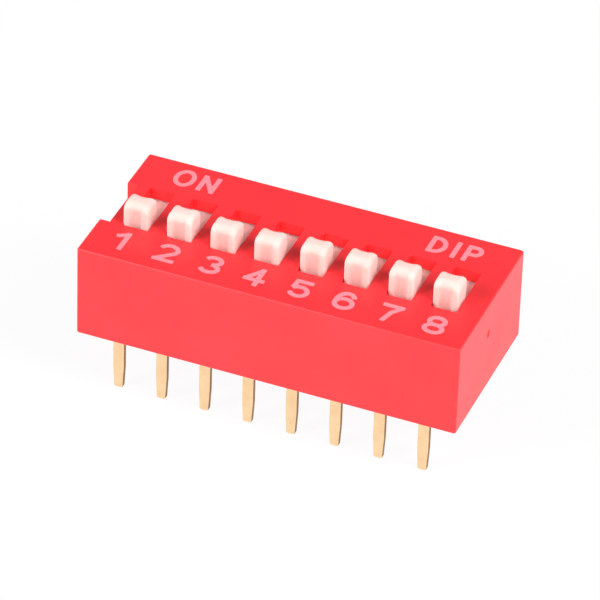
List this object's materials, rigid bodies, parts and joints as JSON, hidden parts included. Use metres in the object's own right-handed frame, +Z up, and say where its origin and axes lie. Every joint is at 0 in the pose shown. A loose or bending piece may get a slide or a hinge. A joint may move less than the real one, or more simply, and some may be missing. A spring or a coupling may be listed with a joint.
{
  "type": "dip switch",
  "caption": "Slide switch block in a dual in-line housing: small knobs slide in windows of a flat top, and two rows of flat leads stand below.",
  "frame": {"origin": "middle of the seating plane, where the underside of the housing stands on the board", "axes": "+X along the row of positions from the notched end at position 1 to position 8, +Y from the figures (off) to the words (on), +Z up out of the board"},
  "size_m": [0.022, 0.0098, 0.0107],
  "materials": {
    "cover": "moulded, semi-gloss red",
    "base": "moulded, matt red",
    "terminal": "stamped strip, gold flash",
    "slider": "moulded, satin white",
    "contact": "formed spring strip, gold flash",
    "ink": "pad-printed ink"
  },
  "bodies": {
    "housing": {"cover": "cover", "base": "base", "terminal_front_1": "terminal", "terminal_front_2": "terminal", "terminal_front_3": "terminal", "terminal_front_4": "terminal", "terminal_front_5": "terminal", "terminal_front_6": "terminal", "terminal_front_7": "terminal", "terminal_front_8": "terminal", "terminal_rear_1": "terminal", "terminal_rear_2": "terminal", "terminal_rear_3": "terminal", "terminal_rear_4": "terminal", "terminal_rear_5": "terminal", "terminal_rear_6": "terminal", "terminal_rear_7": "terminal", "terminal_rear_8": "terminal", "mark_figures": "ink", "mark_on": "ink", "mark_dip": "ink"},
    "switch_1": {"slider_1": "slider", "contact_1": "contact"},
    "switch_2": {"slider_2": "slider", "contact_2": "contact"},
    "switch_3": {"slider_3": "slider", "contact_3": "contact"},
    "switch_4": {"slider_4": "slider", "contact_4": "contact"},
    "switch_5": {"slider_5": "slider", "contact_5": "contact"},
    "switch_6": {"slider_6": "slider", "contact_6": "contact"},
    "switch_7": {"slider_7": "slider", "contact_7": "contact"},
    "switch_8": {"slider_8": "slider", "contact_8": "contact"}
  },
  "joints": [
    {"name": "slide_1", "type": "slide", "parent": "housing", "child": "switch_1", "axis": [0, 1, 0], "range_m": [0, 0.0024]},
    {"name": "slide_2", "type": "slide", "parent": "housing", "child": "switch_2", "axis": [0, 1, 0], "range_m": [0, 0.0024]},
    {"name": "slide_3", "type": "slide", "parent": "housing", "child": "switch_3", "axis": [0, 1, 0], "range_m": [0, 0.0024]},
    {"name": "slide_4", "type": "slide", "parent": "housing", "child": "switch_4", "axis": [0, 1, 0], "range_m": [0, 0.0024]},
    {"name": "slide_5", "type": "slide", "parent": "housing", "child": "switch_5", "axis": [0, 1, 0], "range_m": [-0.00028, 0.00212]},
    {"name": "slide_6", "type": "slide", "parent": "housing", "child": "switch_6", "axis": [0, 1, 0], "range_m": [-0.00028, 0.00212]},
    {"name": "slide_7", "type": "slide", "parent": "housing", "child": "switch_7", "axis": [0, 1, 0], "range_m": [-0.00028, 0.00212]},
    {"name": "slide_8", "type": "slide", "parent": "housing", "child": "switch_8", "axis": [0, 1, 0], "range_m": [-0.00028, 0.00212]}
  ]
}
